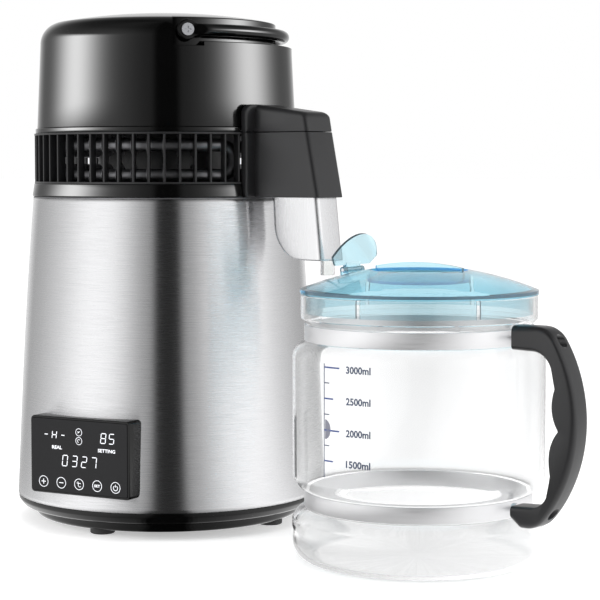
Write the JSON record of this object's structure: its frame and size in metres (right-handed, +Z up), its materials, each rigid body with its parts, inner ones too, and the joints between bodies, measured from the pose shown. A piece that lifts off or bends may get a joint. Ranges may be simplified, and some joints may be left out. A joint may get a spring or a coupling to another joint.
{
  "type": "water distiller",
  "caption": "Worktop water distiller: steel boiler with a touch panel, vented lift-off head with a spout and bail, and a lidded glass jug with a handle.",
  "frame": {"origin": "the middle of the footprint on the worktop", "axes": "+Z up, +X from the distiller to its jug, +Y away from the touch panel"},
  "size_m": [0.487, 0.2386, 0.3783],
  "materials": {
    "steel": "brushed round the axis",
    "pot_steel": "satin",
    "black_gloss": "glossy moulded plastic",
    "black_satin": "satin moulded plastic",
    "lens_gloss": "high gloss smoked lens",
    "rubber": "matte",
    "silicone": "translucent silicone",
    "zinc": "zinc plated",
    "aluminium": "bare",
    "board_green": "printed circuit",
    "part_white": "moulded",
    "brass": "bare",
    "cup_steel": "satin, fine vertical grain",
    "glass_clear": "clear borosilicate",
    "band_steel": "polished",
    "lid_blue": "clear blue plastic",
    "flap_blue": "clear blue plastic"
  },
  "bodies": {
    "boiler": {"base_tray": "black_gloss", "rubber_feet": "rubber", "base_screws": "zinc", "tray_posts": "black_satin", "outer_shell": "steel", "boiler_pot": "pot_steel", "pot_base": "pot_steel", "heater_plate": "aluminium", "heating_element": "pot_steel", "clamp_plate": "zinc", "clamp_stud": "zinc", "clamp_nut": "zinc", "thermal_cutouts": "part_white", "temp_sensor": "brass", "control_housing": "black_gloss", "control_lens": "lens_gloss", "control_board": "board_green", "display_module": "part_white", "power_board": "board_green", "board_posts": "black_satin", "inlet_socket": "black_satin", "inlet_pins": "brass", "fan_outlet": "black_satin"},
    "head": {"lid_plate": "pot_steel", "lid_seal": "silicone", "head_ring": "black_satin", "vent_grille": "black_satin", "collar_ring": "black_gloss", "head_cap": "black_gloss", "bail_screws": "zinc", "motor_bracket": "zinc", "bracket_posts": "black_satin", "post_ring": "black_satin", "bracket_screws": "zinc", "fan_motor": "black_satin", "condenser_coil": "pot_steel", "condenser_fins": "aluminium", "steam_riser": "pot_steel", "outlet_tube": "pot_steel", "air_guide": "black_satin", "spout_housing": "black_gloss", "filter_cup": "cup_steel", "nozzle_tip": "silicone", "head_socket": "black_satin"},
    "bail": {"bail_handle": "black_gloss"},
    "fan": {"fan_shaft": "zinc", "fan_rotor": "black_satin"},
    "cover": {"spout_cover": "black_gloss"},
    "jug": {"glass_jug": "glass_clear", "lower_band": "band_steel", "upper_band": "band_steel", "jug_handle": "black_gloss", "handle_screws": "zinc"},
    "lid": {"jug_lid": "lid_blue", "flap_pin": "zinc"},
    "flap": {"lid_flap": "flap_blue"}
  },
  "joints": [
    {"name": "head_lift", "type": "slide", "parent": "boiler", "child": "head", "axis": [0, 0, 1], "range_m": [0, 0.15]},
    {"name": "fan_spin", "type": "hinge", "parent": "head", "child": "fan", "pos_m": [-0.13015, 0.00435, 0.32], "axis": [0, 0, 1], "continuous": true},
    {"name": "bail_swing", "type": "hinge", "parent": "head", "child": "bail", "pos_m": [-0.13015, 0.00435, 0.3614], "axis": [0.8049, -0.5934, 0], "range_deg": [0, 90]},
    {"name": "spout_cover_lift", "type": "slide", "parent": "head", "child": "cover", "axis": [0, 0, 1], "range_m": [0, 0.04]},
    {"name": "jug_slide", "type": "slide", "parent": "boiler", "child": "jug", "axis": [0.7071, -0.7071, 0], "range_m": [-0.04, 0.12]},
    {"name": "lid_lift", "type": "slide", "parent": "jug", "child": "lid", "axis": [0, 0, 1], "range_m": [0, 0.05]},
    {"name": "flap_hinge", "type": "hinge", "parent": "lid", "child": "flap", "pos_m": [0.06284, -0.01349, 0.1941], "axis": [0.1045, -0.9945, 0], "range_deg": [0, 127]}
  ]
}
